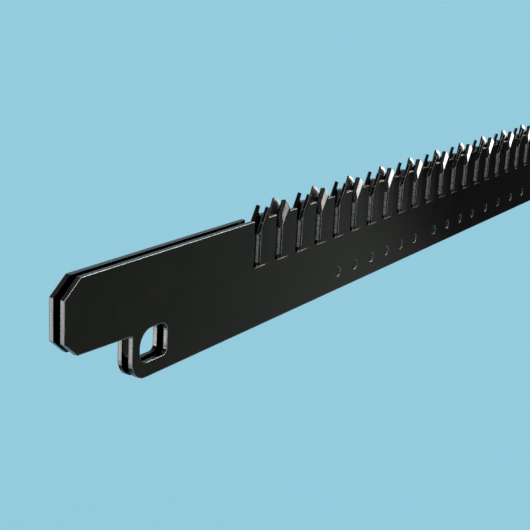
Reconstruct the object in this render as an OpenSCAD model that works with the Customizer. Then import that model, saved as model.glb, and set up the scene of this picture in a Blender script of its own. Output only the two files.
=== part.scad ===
// Twin toothed blade bar. Two identical steel blades stand side by side and slide
// in opposite directions along a flat guide bar that fills the gap between them.
// Each blade has a drive tongue, a drive slot and a row of alternately bent teeth.
// Blade drawings run from x = 0 at the tongue's end and z = 0 at the lower edge,
// with y = 0 on the blade's outer face and y = blade_t on its inner face.

/* [Blade] */
// Length of a blade
blade_len = 528; // [300:1:700]
// Height of a blade below its teeth
blade_h = 50; // [40:1:60]
// Thickness of a blade
blade_t = 2; // [1.5:0.1:2.5]
// Clear gap between the two blades
blade_gap = 3.3; // [2.6:0.1:4]
// How far each blade slides to either side of its middle position
travel = 20; // [5:1:25]

/* [Drive end] */
// Tongue's end face, lower and upper height
tongue_z = [26.7, 43.2]; // [20:0.1:50]
// Tongue's upper chamfer reaches this far along the blade
upper_chamfer = 8.6; // [2:0.1:12]
// Tongue's lower chamfer reaches this far along the blade
lower_chamfer = 6.9; // [2:0.1:12]
// Height of the tongue's underside at its chamfer and at the ear
underside_z = [20.7, 19.6]; // [15:0.1:25]
// Start of the ear below the tongue
ear_x = 38.4; // [30:0.1:50]
// Radius of the ear's lower corner
ear_r = 8.2; // [2:0.1:12]
// Radius of the inner corner between tongue and ear
notch_r = 1.2; // [0.5:0.1:3]
// Drive slot, start along the blade and lower edge
slot_at = [43, 6.2]; // [0:0.1:80]
// Drive slot, length and height
slot_size = [17.5, 14]; // [8:0.1:30]
// Drive slot's corner radii: lower near, lower far, upper far, upper near
slot_r = [5, 2.5, 4.5, 7]; // [1:0.1:7]

/* [Teeth] */
// Number of teeth on a blade
tooth_count = 21; // [4:1:30]
// Leading edge of the first tooth
first_tooth_x = 126.5; // [100:0.5:160]
// Distance from one tooth to the next
tooth_pitch = 18; // [12:0.5:24]
// Width of the gullet in front of each tooth
gullet_w = 4.7; // [3:0.1:8]
// Height of the gullet's round bottom
gullet_z = 28.4; // [15:0.1:40]
// Where a tooth's leading edge starts to slope, below the blade's top
heel_drop = 1; // [0:0.1:8]
// Tooth's tip, along the blade and above the blade's top
tip_at = [3.3, 5.6]; // [2:0.1:10]
// Width of the blunt tip
tip_w = 0.8; // [0.2:0.1:3]
// Tooth's shoulder behind the tip, along the blade and above the top
shoulder_at = [5.5, 4]; // [2:0.1:10]
// Foot of the tooth's back, along the blade
foot_x = 7; // [4:0.1:12]
// Height of the fold at the tooth's leading edge, below the blade's top
fold_drop = 7.3; // [4:0.1:12]
// Upper end of the fold on the tooth's back, along the blade and above the top
fold_end_at = [6.1, 2.4]; // [1:0.1:10]
// Angle to which each tooth is bent out of the blade
bend_angle = 25; // [5:1:30]
// Ground bevel on the leading edge, width on the face and depth at the edge
bevel_size = [1.5, 0.45]; // [0.2:0.05:2]
// Shallow relief on the face behind the edge, width and depth
relief_size = [7.7, 0.15]; // [0:0.05:10]
// Chamfer at the blade's plain far end
end_chamfer = 8; // [2:0.5:15]

/* [Guide studs] */
// Height of the row of studs
stud_z = 9.5; // [7:0.1:15]
// First stud of each run
stud_starts = [202.3, 318.8, 399.5]; // [80:0.1:600]
// Number of studs in each run
stud_counts = [6, 4, 6]; // [1:1:10]
// Distance between the studs of each run
stud_pitches = [18, 19.4, 22.5]; // [10:0.1:30]
// Diameter of a stud's shank
shank_d = 3; // [2:0.1:4]
// Diameter and depth of the recess for a stud's outer head
recess_size = [5, 0.6]; // [0.3:0.1:7]
// Diameter and thickness of a stud's outer head
outer_head = [4.5, 0.35]; // [0.2:0.05:6]
// Diameter and thickness of a stud's inner head
inner_head = [5, 0.55]; // [0.4:0.05:7]

/* [Guide bar] */
// Start and end of the guide bar along the blades
guide_x = [90, 580]; // [60:1:700]
// Lower and upper edge of the guide bar
guide_z = [1.5, 42]; // [0:0.5:45]
// Thickness of the guide bar's core
core_t = 1.5; // [1:0.1:2]
// Thickness of each cheek
cheek_t = 0.8; // [0.4:0.1:1.2]
// Width of the cheeks' slot for the shanks
shank_slot_w = 3.3; // [2.2:0.1:5]
// Width of the core's channel for the inner heads
channel_w = 5.4; // [4:0.1:8]
// Diameter of the guide bar's rivets
rivet_d = 2; // [1.5:0.1:4]
// Heights of the rivet rows
rivet_rows = [4.1, 19, 37]; // [2:0.1:42]
// Number of rivets in a row
rivet_count = 9; // [3:1:15]
// First and last rivet of a row along the blades
rivet_x = [96, 548]; // [60:1:700]
// Mounting holes, place along the bar, height of the lower one and spacing
mount_at = [566, 12, 20]; // [10:0.5:700]
// Diameter of the mounting holes
mount_d = 6.5; // [3:0.1:10]

/* [Hidden] */
// Round edges are drawn as true curves
$fn = 48;
// Cutters run past the faces that they cut by this much
past = 1;
// The filler of a hollow corner reaches this far into the blade
corner_grip = 0.2;
// The bend's centre lies this far outside the blade's face, so both sides join
bend_out = 0.1;
// The frame's origin is the middle of the bar, at its lower edge
mid_x = guide_x[1] / 2;
// The outer face of the front blade
outer_y = blade_gap / 2 + blade_t;
// Leading edges of the teeth
tooth_xs = [for (i = [0 : tooth_count - 1]) first_tooth_x + i * tooth_pitch];
// Tooth outline from its leading edge
fold_z = blade_h - fold_drop;
heel = [0, blade_h - heel_drop];
tip = [tip_at[0], blade_h + tip_at[1]];
blunt = [tip[0] + tip_w, tip[1]];
shoulder = [shoulder_at[0], blade_h + shoulder_at[1]];
fold_end = [fold_end_at[0], blade_h + fold_end_at[1]];
slope_len = norm(tip - heel);
slope_lean = atan2(tip[0] - heel[0], tip[1] - heel[1]);
// Stud places, run by run
stud_xs = [for (run = [0 : len(stud_starts) - 1], k = [0 : stud_counts[run] - 1])
    stud_starts[run] + k * stud_pitches[run]];
last_stud = len(stud_xs) - 1;
// The inner heads run just inside the cheeks, with this much play
head_play = 0.05;
inner_head_y = blade_t + blade_gap / 2 - core_t / 2 + head_play;

FRONT_STUDS = [for (i = [1 : len(stud_xs)]) str("front_stud_", i)];
BACK_STUDS = [for (i = [1 : len(stud_xs)]) str("back_stud_", i)];

// Rectangle with four different round corners
module round_corner_box(size, r) {
    corners = [[0, 0], [size[0], 0], size, [0, size[1]]];
    difference() {
        square(size);
        for (i = [0 : 3])
            translate(corners[i]) rotate(90 * i) difference() {
                translate([-past, -past]) square(r[i] + past);
                translate([r[i], r[i]]) circle(r[i]);
            }
    }
}

// Flat sheet from an outline drawn along and up the blade
module sheet(thickness) {
    translate([0, thickness, 0]) rotate([90, 0, 0]) linear_extrude(thickness) children();
}

// Outline of the comb from above: gullet, fold line and foot of each tooth
function comb_points(x) = [
    [x - gullet_w, blade_h],
    [x - gullet_w, gullet_z + gullet_w / 2],
    [x, gullet_z + gullet_w / 2],
    [x, fold_z],
    [x + fold_end[0], fold_end[1]],
    [x + foot_x, blade_h]
];

// Blade outline without the bent tooth corners
module blade_outline() {
    outline = concat(
        [[0, tongue_z[0]], [0, tongue_z[1]], [upper_chamfer, blade_h]],
        [for (x = tooth_xs, p = comb_points(x)) p],
        [[blade_len - end_chamfer, blade_h], [blade_len, blade_h - end_chamfer]],
        [[blade_len, end_chamfer], [blade_len - end_chamfer, 0]],
        [[ear_x, 0], [ear_x, underside_z[1]], [lower_chamfer, underside_z[0]]]
    );
    difference() {
        union() {
            polygon(outline);
            translate([ear_x - notch_r, underside_z[1] - notch_r])
                difference() {
                    square(notch_r + corner_grip);
                    circle(notch_r);
                }
        }
        translate([ear_x, 0]) difference() {
            translate([-past, -past]) square(ear_r + past);
            translate([ear_r, ear_r]) circle(ear_r);
        }
        translate(slot_at) round_corner_box(slot_size, slot_r);
        for (x = tooth_xs)
            translate([x - gullet_w / 2, gullet_z + gullet_w / 2]) circle(gullet_w / 2);
    }
}

// Bevel cutter that follows an edge upwards from the origin
module edge_bevel(length) {
    linear_extrude(length) polygon([
        [-past, -past],
        [bevel_size[0], -past],
        [bevel_size[0], 0],
        [0, bevel_size[1]],
        [-past, bevel_size[1]]
    ]);
}

// Everything ground off a tooth's outer face, at a leading edge at x = 0
module tooth_grinding() {
    translate([0, 0, gullet_z]) {
        edge_bevel(heel[1] - gullet_z);
        linear_extrude(blade_h) polygon([
            [-past, -past],
            [relief_size[0], -past],
            [relief_size[0], 0],
            [-past, relief_size[1]]
        ]);
    }
    translate([0, 0, heel[1]]) rotate([0, slope_lean, 0]) edge_bevel(slope_len + past);
}

// Tooth corner bent about the fold line, towards the outer or the inner side
module bent_corner(outward) {
    pivot = [0, outward ? blade_t + bend_out : -bend_out, fold_z];
    fold_line = [fold_end[0], 0, fold_end[1] - fold_z];
    translate(pivot)
        rotate(a = outward ? bend_angle : -bend_angle, v = fold_line)
            translate(-pivot)
                difference() {
                    sheet(blade_t) polygon([[0, fold_z], heel, tip, blunt, shoulder, fold_end]);
                    tooth_grinding();
                }
}

// Complete blade; first_outward tells which way its first tooth is bent
module blade(first_outward) {
    difference() {
        sheet(blade_t) blade_outline();
        for (x = tooth_xs) translate([x, 0, 0]) tooth_grinding();
        for (x = stud_xs) translate([x, 0, stud_z]) rotate([-90, 0, 0]) {
            translate([0, 0, -past]) cylinder(h = blade_t + 2 * past, d = shank_d);
            translate([0, 0, -past]) cylinder(h = recess_size[1] + past, d = recess_size[0]);
        }
    }
    for (i = [0 : tooth_count - 1])
        translate([tooth_xs[i], 0, 0]) bent_corner((i % 2 == 0) == first_outward);
}

// Stud riveted into a blade: flush outer head, shank and inner head
module stud(x) {
    translate([x, 0, stud_z]) rotate([-90, 0, 0]) {
        translate([0, 0, recess_size[1] - outer_head[1]])
            cylinder(h = outer_head[1], d = outer_head[0]);
        translate([0, 0, recess_size[1]])
            cylinder(h = inner_head_y - recess_size[1], d = shank_d);
        translate([0, 0, inner_head_y]) cylinder(h = inner_head[1], d = inner_head[0]);
    }
}

// Places a child drawn for the front blade in the front or the back of the bar
module front_side() {
    translate([-mid_x, -outer_y, 0]) children();
}

module back_side() {
    mirror([0, 1, 0]) front_side() children();
}

// Long slot in which the studs travel
module stud_slot(width) {
    ends = [stud_xs[0] - travel, stud_xs[last_stud] + travel];
    translate([ends[0], stud_z - width / 2]) square([ends[1] - ends[0], width]);
    for (x = ends) translate([x, stud_z]) circle(width / 2);
}

module rivet_places() {
    step = (rivet_x[1] - rivet_x[0]) / (rivet_count - 1);
    for (z = rivet_rows, k = [0 : rivet_count - 1])
        translate([rivet_x[0] + k * step, z]) children();
}

// One layer of the guide bar, from its lower face at y
module guide_layer(y, thickness, slot_w) {
    translate([-mid_x, y, 0]) sheet(thickness) difference() {
        translate([guide_x[0], guide_z[0]])
            square([guide_x[1] - guide_x[0], guide_z[1] - guide_z[0]]);
        stud_slot(slot_w);
        rivet_places() circle(d = rivet_d);
        for (k = [0, 1])
            translate([mount_at[0], mount_at[1] + k * mount_at[2]]) circle(d = mount_d);
    }
}

module front_blade() {
    color("dimgray") front_side() blade(true);
}

module back_blade() {
    color("dimgray") back_side() blade(false);
}

module guide_core() {
    color("silver") guide_layer(-core_t / 2, core_t, channel_w);
}

module front_cheek() {
    color("gray") guide_layer(-core_t / 2 - cheek_t, cheek_t, shank_slot_w);
}

module back_cheek() {
    color("gray") guide_layer(core_t / 2, cheek_t, shank_slot_w);
}

module guide_rivets() {
    rivet_h = core_t + 2 * cheek_t;
    color("silver") translate([-mid_x, -rivet_h / 2, 0])
        sheet(rivet_h) rivet_places() circle(d = rivet_d);
}

module front_stud(i) {
    color("darkslategray") front_side() stud(stud_xs[i]);
}

module back_stud(i) {
    color("darkslategray") back_side() stud(stud_xs[i]);
}

front_blade();
back_blade();
guide_core();
front_cheek();
back_cheek();
guide_rivets();
for (i = [0 : last_stud]) {
    front_stud(i);
    back_stud(i);
}
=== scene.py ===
"""Looks of a twin toothed blade bar: black steel blades, studs and guide bar in a pale blue studio."""

import math

import bpy
from mathutils import Matrix, Vector


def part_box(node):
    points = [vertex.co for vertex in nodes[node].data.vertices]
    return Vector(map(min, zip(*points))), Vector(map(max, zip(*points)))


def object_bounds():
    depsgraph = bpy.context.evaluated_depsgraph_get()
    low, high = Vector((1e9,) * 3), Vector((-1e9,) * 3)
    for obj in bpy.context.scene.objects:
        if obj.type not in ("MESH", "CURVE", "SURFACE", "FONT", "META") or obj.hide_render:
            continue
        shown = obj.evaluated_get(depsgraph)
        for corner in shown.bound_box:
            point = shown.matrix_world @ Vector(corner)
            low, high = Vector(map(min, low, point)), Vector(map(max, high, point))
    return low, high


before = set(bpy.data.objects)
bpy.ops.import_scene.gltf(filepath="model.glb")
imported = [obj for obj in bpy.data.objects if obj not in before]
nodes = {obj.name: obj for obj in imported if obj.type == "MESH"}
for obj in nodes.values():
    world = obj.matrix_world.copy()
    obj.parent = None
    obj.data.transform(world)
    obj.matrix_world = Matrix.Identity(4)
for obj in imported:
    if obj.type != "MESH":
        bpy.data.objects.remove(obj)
cad_lo, cad_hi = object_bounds()
front_lo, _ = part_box("front_blade")
scene = bpy.context.scene

# Distance from the middle plane to a blade's flat outer face
OUTER_FACE = 0.00365

# ---- Camera: low, near the drive end, looking along the bar with a slight roll ----

IMAGE_SIDE = 530
FOCAL_IN_IMAGE = 1117.4
SENSOR = 36.0
NEAR, FAR = 0.01, 60.0
CAMERA_FROM_TONGUE = Vector((-0.2796, -0.2553, 0.1679))
CAMERA_RIGHT = Vector((0.53932, -0.84043, 0.05295))
CAMERA_UP = Vector((0.20628, 0.19281, 0.95931))


def make_camera():
    data = bpy.data.cameras.new("camera")
    data.sensor_width = SENSOR
    data.lens = SENSOR * FOCAL_IN_IMAGE / IMAGE_SIDE
    data.clip_start, data.clip_end = NEAR, FAR
    camera = bpy.data.objects.new("camera", data)
    scene.collection.objects.link(camera)
    right = CAMERA_RIGHT.normalized()
    back = right.cross(CAMERA_UP).normalized()
    up = back.cross(right)
    turn = Matrix((right, up, back)).transposed().to_4x4()
    place = Vector((front_lo.x, -OUTER_FACE, cad_lo.z)) + CAMERA_FROM_TONGUE
    camera.matrix_world = Matrix.Translation(place) @ turn
    scene.camera = camera


# ---- Node helpers ----


def new_material(name):
    material = bpy.data.materials.new(name)
    material.use_nodes = True
    tree = material.node_tree
    tree.nodes.clear()
    output = tree.nodes.new("ShaderNodeOutputMaterial")
    shader = tree.nodes.new("ShaderNodeBsdfPrincipled")
    tree.links.new(shader.outputs["BSDF"], output.inputs["Surface"])
    return material, tree, shader


def add(tree, kind, **values):
    node = tree.nodes.new(kind)
    for key, value in values.items():
        setattr(node, key, value)
    return node


def noise(tree, vector, scale, detail=4.0, rough=0.55):
    node = add(tree, "ShaderNodeTexNoise")
    node.inputs["Scale"].default_value = scale
    node.inputs["Detail"].default_value = detail
    node.inputs["Roughness"].default_value = rough
    tree.links.new(vector, node.inputs["Vector"])
    return node.outputs["Fac"]


def stretched(tree, scale):
    """Object coordinates stretched by scale along each axis."""
    place = add(tree, "ShaderNodeTexCoord")
    mapping = add(tree, "ShaderNodeMapping")
    mapping.inputs["Scale"].default_value = scale
    tree.links.new(place.outputs["Object"], mapping.inputs["Vector"])
    return mapping.outputs["Vector"]


def spread(tree, value, low, high, from_low=0.3, from_high=0.7):
    """Value from from_low to from_high, turned into low to high and held there beyond."""
    node = add(tree, "ShaderNodeMapRange")
    node.inputs["From Min"].default_value = from_low
    node.inputs["From Max"].default_value = from_high
    node.inputs["To Min"].default_value = low
    node.inputs["To Max"].default_value = high
    tree.links.new(value, node.inputs["Value"])
    return node.outputs["Result"]


def product(tree, first, second):
    node = add(tree, "ShaderNodeMath", operation="MULTIPLY")
    tree.links.new(first, node.inputs[0])
    tree.links.new(second, node.inputs[1])
    return node.outputs["Value"]


def mixed(tree, factor, start, end):
    """Mix from start to end, each a colour or another node's output."""
    node = add(tree, "ShaderNodeMix", data_type="RGBA")
    for socket, value in ((node.inputs["A"], start), (node.inputs["B"], end)):
        if isinstance(value, tuple):
            socket.default_value = (*value, 1.0)
        else:
            tree.links.new(value, socket)
    tree.links.new(factor, node.inputs["Factor"])
    return node.outputs["Result"]


def bump(tree, shader, height, normal, strength, distance):
    node = add(tree, "ShaderNodeBump")
    node.inputs["Strength"].default_value = strength
    node.inputs["Distance"].default_value = distance
    tree.links.new(height, node.inputs["Height"])
    tree.links.new(normal, node.inputs["Normal"])
    tree.links.new(node.outputs["Normal"], shader.inputs["Normal"])


# ---- Painted highlights and painted dark outlines along edges ----

EDGE_SAMPLES = 6
# How far a rounded normal has turned from its facet, as one minus the cosine: where the strip
# along an edge starts, and where it is full
FINE_TURN = (0.0001, 0.0008)
SLIGHT_TURN = (0.0005, 0.003)
SHARP_TURN = (0.03, 0.10)
# More than half the angle between a face and the ground bevel beside it
BEYOND_FACE_TURN = (0.012, 0.016)
# Height where the teeth's shallow relief runs out, half the band around it, and the painted highlight
# there
RELIEF_END = 0.0284
RELIEF_BAND = 0.002
RELIEF_HIGHLIGHT = 0.15
# How much of a normal points to the far end, where its edge gets the least painted highlight, and the
# painted highlight there
TURNED_AWAY = 0.08
AWAY_HIGHLIGHT = 0.1


def near_edge(tree, reach, turn):
    """Mask of the strip this close to an edge, and the normal rounded over the edge."""
    rounded = add(tree, "ShaderNodeBevel", samples=EDGE_SAMPLES)
    rounded.inputs["Radius"].default_value = reach
    facet = add(tree, "ShaderNodeNewGeometry")
    along = add(tree, "ShaderNodeVectorMath", operation="DOT_PRODUCT")
    tree.links.new(rounded.outputs["Normal"], along.inputs[0])
    tree.links.new(facet.outputs["Normal"], along.inputs[1])
    starts, full = turn
    mask = spread(tree, along.outputs["Value"], 1, 0, 1 - full, 1 - starts)
    return mask, rounded.outputs["Normal"]


def painted_highlight_strip(tree, reach, turn):
    """Mask of the outer edges that get a painted highlight, fainter towards the far end, and the
    rounded normal.
    """
    mask, normal = near_edge(tree, reach, turn)
    turned = add(tree, "ShaderNodeSeparateXYZ")
    tree.links.new(normal, turned.inputs["Vector"])
    place = add(tree, "ShaderNodeSeparateXYZ")
    tree.links.new(stretched(tree, EVEN), place.inputs["Vector"])
    outer = add(tree, "ShaderNodeMath", operation="GREATER_THAN")
    tree.links.new(product(tree, turned.outputs["Y"], place.outputs["Y"]), outer.inputs[0])
    outer.inputs[1].default_value = 0.0
    at_relief = add(tree, "ShaderNodeMath", operation="COMPARE")
    tree.links.new(place.outputs["Z"], at_relief.inputs[0])
    at_relief.inputs[1].default_value = RELIEF_END
    at_relief.inputs[2].default_value = RELIEF_BAND
    faint = spread(tree, at_relief.outputs["Value"], 1, RELIEF_HIGHLIGHT, 0, 1)
    toward = spread(tree, turned.outputs["X"], 1, AWAY_HIGHLIGHT, 0, TURNED_AWAY)
    # Painted highlight: a light strip where rounded edges would catch the light
    highlighted = product(tree, outer.outputs["Value"], product(tree, toward, faint))
    return product(tree, mask, highlighted), normal


# ---- Materials ----

# How each pattern is stretched along X, Y and Z: a large number makes it fine that way
EVEN = (1, 1, 1)
LINES_ALONG_BAR = (6, 60, 60)
STREAKS_ALONG_CUT = (12, 900, 12)
CHATTER_ON_CUT = (400, 1, 400)
MARKS_ON_BEVEL = (60, 60, 600)
MARKS_ON_TOOTH = (300, 60, 60)

# Distance from an edge over which it gets a painted highlight or a painted dark outline
FACE_HIGHLIGHT_REACH = 0.00035
RIM_HIGHLIGHT_REACH = 0.00025
BEVEL_HIGHLIGHT_REACH = 0.0003
TOOTH_OUTLINE_REACH = 0.00035
CUT_OUTLINE_REACH = 0.0005

# Darkest and lightest colour of each surface, then the colours of painted edge highlights and painted
# dark outlines
FACE_COLOURS = ((0.020, 0.022, 0.021), (0.026, 0.027, 0.025))
RIM_COLOURS = ((0.02, 0.02, 0.02), (0.04, 0.04, 0.04))
# Cut walls facing along the bar are painted much lighter than the other cut edges, as painted light
CUT_COLOURS = ((0.25, 0.23, 0.22), (0.92, 0.87, 0.83))
# The bevels are painted darker than the faces, as painted shade
BEVEL_COLOURS = ((0.008, 0.008, 0.009), (0.015, 0.015, 0.016))
# The bent teeth's facets are painted lighter than the faces, as painted reflection of the light above
TOOTH_COLOURS = ((0.18, 0.175, 0.17), (0.24, 0.23, 0.22))
GUIDE_COLOURS = ((0.05, 0.05, 0.05), (0.08, 0.08, 0.08))
RIVET_COLOURS = ((0.3, 0.3, 0.3), (0.4, 0.4, 0.4))
STUD_COLOURS = ((0.025, 0.025, 0.025), (0.04, 0.04, 0.04))
FACE_EDGE_HIGHLIGHT = (0.40, 0.38, 0.36)
RIM_EDGE_HIGHLIGHT = (0.44, 0.42, 0.40)
# Painted highlight line along the bevels beside the faces
BEVEL_HIGHLIGHT_LINE = (0.86, 0.76, 0.69)
# Painted shade: dark outline along the rims of the cut walls and tooth facets
PAINTED_DARK_OUTLINE = (0.02, 0.022, 0.024)

# Roughness where each surface is smoothest and roughest
FACE_ROUGH = (0.10, 0.14)
RIM_ROUGH = (0.18, 0.30)
CUT_ROUGH = (0.18, 0.38)
BEVEL_ROUGH = (0.16, 0.26)
TOOTH_ROUGH = (0.14, 0.22)
GUIDE_ROUGH = (0.35, 0.45)
RIVET_ROUGH = (0.30, 0.40)
STUD_ROUGH = (0.15, 0.25)

# Metallic part of surfaces that are not fully metallic
HIGHLIGHT_METALLIC = 0.35
CUT_METALLIC = 0.65
TOOTH_METALLIC = 0.95


def black_oxide(name, colours, rough, reach, turn, highlight_colour):
    """Satin black steel: faint mottle, fine lines along the bar, and a painted highlight along the
    outer edges.
    """
    material, tree, shader = new_material(name)
    mottle = noise(tree, stretched(tree, EVEN), scale=90.0)
    lines = noise(tree, stretched(tree, LINES_ALONG_BAR), scale=30.0, detail=6.0)
    colour = mixed(tree, spread(tree, mottle, 0, 1), *colours)
    edge_highlight, normal = painted_highlight_strip(tree, reach, turn)
    # Painted highlight: the edge strip is mixed to a light colour
    tree.links.new(mixed(tree, edge_highlight, colour, highlight_colour), shader.inputs["Base Color"])
    tree.links.new(spread(tree, edge_highlight, 1, HIGHLIGHT_METALLIC, 0, 1), shader.inputs["Metallic"])
    tree.links.new(spread(tree, mottle, *rough), shader.inputs["Roughness"])
    bump(tree, shader, lines, normal, strength=0.06, distance=0.0002)
    return material


def cut_wall():
    """Sheared walls across the bar, partly bare steel and partly painted light: fine streaks along the
    cut, and a painted dark outline along the rim.
    """
    material, tree, shader = new_material("blade_cut")
    streaks = noise(tree, stretched(tree, STREAKS_ALONG_CUT), scale=3.0, detail=6.0, rough=0.7)
    chatter = noise(tree, stretched(tree, CHATTER_ON_CUT), scale=2.0)
    colour = mixed(tree, spread(tree, streaks, 0, 1), *CUT_COLOURS)
    # Painted shade: a dark outline along the wall's rim
    rim, normal = near_edge(tree, CUT_OUTLINE_REACH, SHARP_TURN)
    tree.links.new(mixed(tree, rim, colour, PAINTED_DARK_OUTLINE), shader.inputs["Base Color"])
    shader.inputs["Metallic"].default_value = CUT_METALLIC
    tree.links.new(spread(tree, chatter, *CUT_ROUGH), shader.inputs["Roughness"])
    bump(tree, shader, chatter, normal, strength=0.25, distance=0.0001)
    return material


def ground_bevel():
    """Ground bevels beside the slits, painted darker than the faces as painted shade, with a painted
    highlight line along them.
    """
    material, tree, shader = new_material("blade_bevel")
    marks = noise(tree, stretched(tree, MARKS_ON_BEVEL), scale=4.0, detail=5.0)
    colour = mixed(tree, spread(tree, marks, 0, 1), *BEVEL_COLOURS)
    edge_highlight, _ = painted_highlight_strip(tree, BEVEL_HIGHLIGHT_REACH, FINE_TURN)
    sharp, _ = near_edge(tree, BEVEL_HIGHLIGHT_REACH, BEYOND_FACE_TURN)
    # Painted highlight: a light line along the edge with the face
    highlight_line = product(tree, edge_highlight, spread(tree, sharp, 1, 0, 0, 1))
    tree.links.new(mixed(tree, highlight_line, colour, BEVEL_HIGHLIGHT_LINE), shader.inputs["Base Color"])
    tree.links.new(spread(tree, highlight_line, 1, HIGHLIGHT_METALLIC, 0, 1), shader.inputs["Metallic"])
    tree.links.new(spread(tree, marks, *BEVEL_ROUGH), shader.inputs["Roughness"])
    return material


def ground_tooth():
    """Ground facets of the bent teeth, painted lighter than the faces as a painted reflection of the
    light above: short grinding marks and a thin painted dark outline.
    """
    material, tree, shader = new_material("blade_tooth")
    marks = noise(tree, stretched(tree, MARKS_ON_TOOTH), scale=4.0, detail=5.0)
    colour = mixed(tree, spread(tree, marks, 0, 1), *TOOTH_COLOURS)
    # Painted shade: a thin dark outline around each facet
    rim, normal = near_edge(tree, TOOTH_OUTLINE_REACH, SHARP_TURN)
    tree.links.new(mixed(tree, rim, colour, PAINTED_DARK_OUTLINE), shader.inputs["Base Color"])
    shader.inputs["Metallic"].default_value = TOOTH_METALLIC
    tree.links.new(spread(tree, marks, *TOOTH_ROUGH), shader.inputs["Roughness"])
    bump(tree, shader, marks, normal, strength=0.06, distance=0.0001)
    return material


def plain_steel(name, colours, rough):
    material, tree, shader = new_material(name)
    mottle = noise(tree, stretched(tree, EVEN), scale=200.0)
    colour = mixed(tree, spread(tree, mottle, 0, 1), *colours)
    tree.links.new(colour, shader.inputs["Base Color"])
    shader.inputs["Metallic"].default_value = 1.0
    tree.links.new(spread(tree, mottle, *rough), shader.inputs["Roughness"])
    return material


def dress(node, materials):
    mesh = nodes[node].data
    mesh.materials.clear()
    for material in materials:
        mesh.materials.append(material)


# Sideways part of a facet's normal above which it is a flat face, or still a ground facet
FLAT = 0.9995
GROUND = 0.5
# A wall cut straight across the bar faces along it at least this much
ACROSS = 0.97
# A bevel beside a slit stands upright; a bent tooth's facets lean at least this much
LEANING = 0.05
FACE, CUT, RIM, BEVEL, TOOTH = range(5)


# Facets get materials by which way they face: lit and shaded copies of the blade steel, with cut walls
# and bent teeth lighter and bevels darker
def facet_kind(normal):
    sideways = abs(normal.y)
    if sideways > FLAT:
        return FACE
    if sideways < GROUND:
        return CUT if abs(normal.x) > ACROSS else RIM
    return TOOTH if abs(normal.z) > LEANING else BEVEL


def dress_blade(node, materials):
    dress(node, materials)
    for polygon in nodes[node].data.polygons:
        polygon.material_index = facet_kind(polygon.normal)


def dress_all():
    face = black_oxide("blade_face", FACE_COLOURS, FACE_ROUGH, FACE_HIGHLIGHT_REACH, FINE_TURN, FACE_EDGE_HIGHLIGHT)
    rim = black_oxide("blade_rim", RIM_COLOURS, RIM_ROUGH, RIM_HIGHLIGHT_REACH, SLIGHT_TURN, RIM_EDGE_HIGHLIGHT)
    # In the order of FACE, CUT, RIM, BEVEL and TOOTH
    blade = [face, cut_wall(), rim, ground_bevel(), ground_tooth()]
    guide = plain_steel("guide_steel", GUIDE_COLOURS, GUIDE_ROUGH)
    rivet = plain_steel("rivet_steel", RIVET_COLOURS, RIVET_ROUGH)
    stud = plain_steel("stud_steel", STUD_COLOURS, STUD_ROUGH)
    for name in nodes:
        if name.endswith("blade"):
            dress_blade(name, blade)
        elif "stud" in name:
            dress(name, [stud])
        elif name == "guide_rivets":
            dress(name, [rivet])
        else:
            dress(name, [guide])


# ---- Studio ----

FLOOR_DROP = 0.5
FLOOR_SIDE = 120.0
FLOOR_BLUE = (0.30, 0.60, 0.73)
DARK_ROOM = (0.035, 0.036, 0.036)
EVEN_LIGHT = (1.0, 1.0, 1.0, 1.0)
WHITE = (1.0, 0.98, 0.96)
FAINT_GREEN = (0.94, 1.0, 0.92)

# Soft boxes that only the steel reflects: direction, full and fading-out angle, strength, colour
SOFT_BOXES = (
    ((-0.93, 0.30, -0.22), 8, 30, 1.3, WHITE),
    ((0.82, 0.50, 0.26), 10, 26, 0.15, WHITE),
    ((0.60, -0.72, 0.34), 19, 29, 9.0, WHITE),
    ((0.78, -0.54, -0.33), 8, 13, 0.38, FAINT_GREEN),
    ((0.30, 0.94, -0.15), 30, 60, 0.8, FLOOR_BLUE),
    ((0.56, -0.76, -0.34), 4, 10, 1.0, WHITE),
    ((0.0, 0.0, 1.0), 30, 60, 0.6, WHITE),
    ((0.0, 0.0, -1.0), 25, 50, 0.6, FLOOR_BLUE),
)


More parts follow.
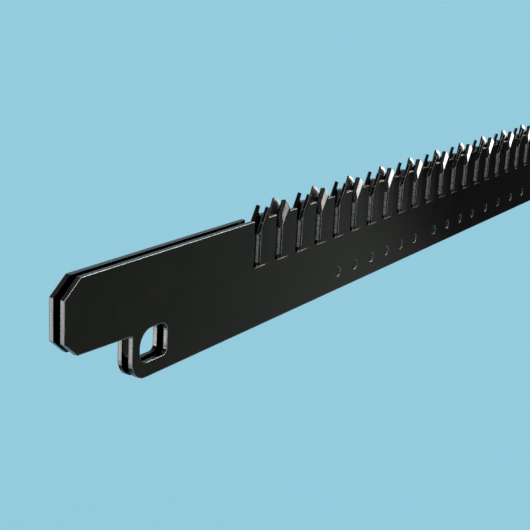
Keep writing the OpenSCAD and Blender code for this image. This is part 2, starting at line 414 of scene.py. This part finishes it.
def make_floor():
    material, _, shader = new_material("studio_floor")
    shader.inputs["Base Color"].default_value = (*FLOOR_BLUE, 1.0)
    shader.inputs["Roughness"].default_value = 1.0
    shader.inputs["Specular IOR Level"].default_value = 0.0
    bpy.ops.mesh.primitive_plane_add(size=FLOOR_SIDE, location=(0, 0, cad_lo.z - FLOOR_DROP))
    floor = bpy.context.object
    floor.name = "studio_floor"
    floor.data.materials.append(material)
    floor.visible_glossy = False


def soft_box(tree, direction, full, faded, strength, colour):
    """Colour of one round soft box, as a function of the direction looked in."""
    toward = add(tree, "ShaderNodeVectorMath", operation="DOT_PRODUCT")
    place = add(tree, "ShaderNodeTexCoord")
    tree.links.new(place.outputs["Generated"], toward.inputs[0])
    toward.inputs[1].default_value = Vector(direction).normalized()
    glow = add(tree, "ShaderNodeMapRange", interpolation_type="SMOOTHSTEP")
    glow.inputs["From Min"].default_value = math.cos(math.radians(faded))
    glow.inputs["From Max"].default_value = math.cos(math.radians(full))
    tree.links.new(toward.outputs["Value"], glow.inputs["Value"])
    tint = add(tree, "ShaderNodeVectorMath", operation="SCALE")
    tint.inputs[0].default_value = [part * strength for part in colour]
    tree.links.new(glow.outputs["Result"], tint.inputs["Scale"])
    return tint.outputs["Vector"]


def make_light():
    """Even light on the floor; soft boxes in a dark room for what the steel reflects."""
    world = bpy.data.worlds.new("studio")
    world.use_nodes = True
    scene.world = world
    tree = world.node_tree
    even = tree.nodes["Background"]
    even.inputs["Color"].default_value = EVEN_LIGHT
    total = add(tree, "ShaderNodeVectorMath", operation="ADD")
    total.inputs[0].default_value = DARK_ROOM
    for box in SOFT_BOXES:
        summed = add(tree, "ShaderNodeVectorMath", operation="ADD")
        tree.links.new(total.outputs["Vector"], summed.inputs[0])
        tree.links.new(soft_box(tree, *box), summed.inputs[1])
        total = summed
    boxes = add(tree, "ShaderNodeBackground")
    tree.links.new(total.outputs["Vector"], boxes.inputs["Color"])
    path = add(tree, "ShaderNodeLightPath")
    choose = add(tree, "ShaderNodeMixShader")
    tree.links.new(path.outputs["Is Glossy Ray"], choose.inputs["Fac"])
    tree.links.new(even.outputs["Background"], choose.inputs[1])
    tree.links.new(boxes.outputs["Background"], choose.inputs[2])
    tree.links.new(choose.outputs["Shader"], tree.nodes["World Output"].inputs["Surface"])


make_camera()
dress_all()
make_floor()
make_light()
scene.view_settings.view_transform = "Standard"
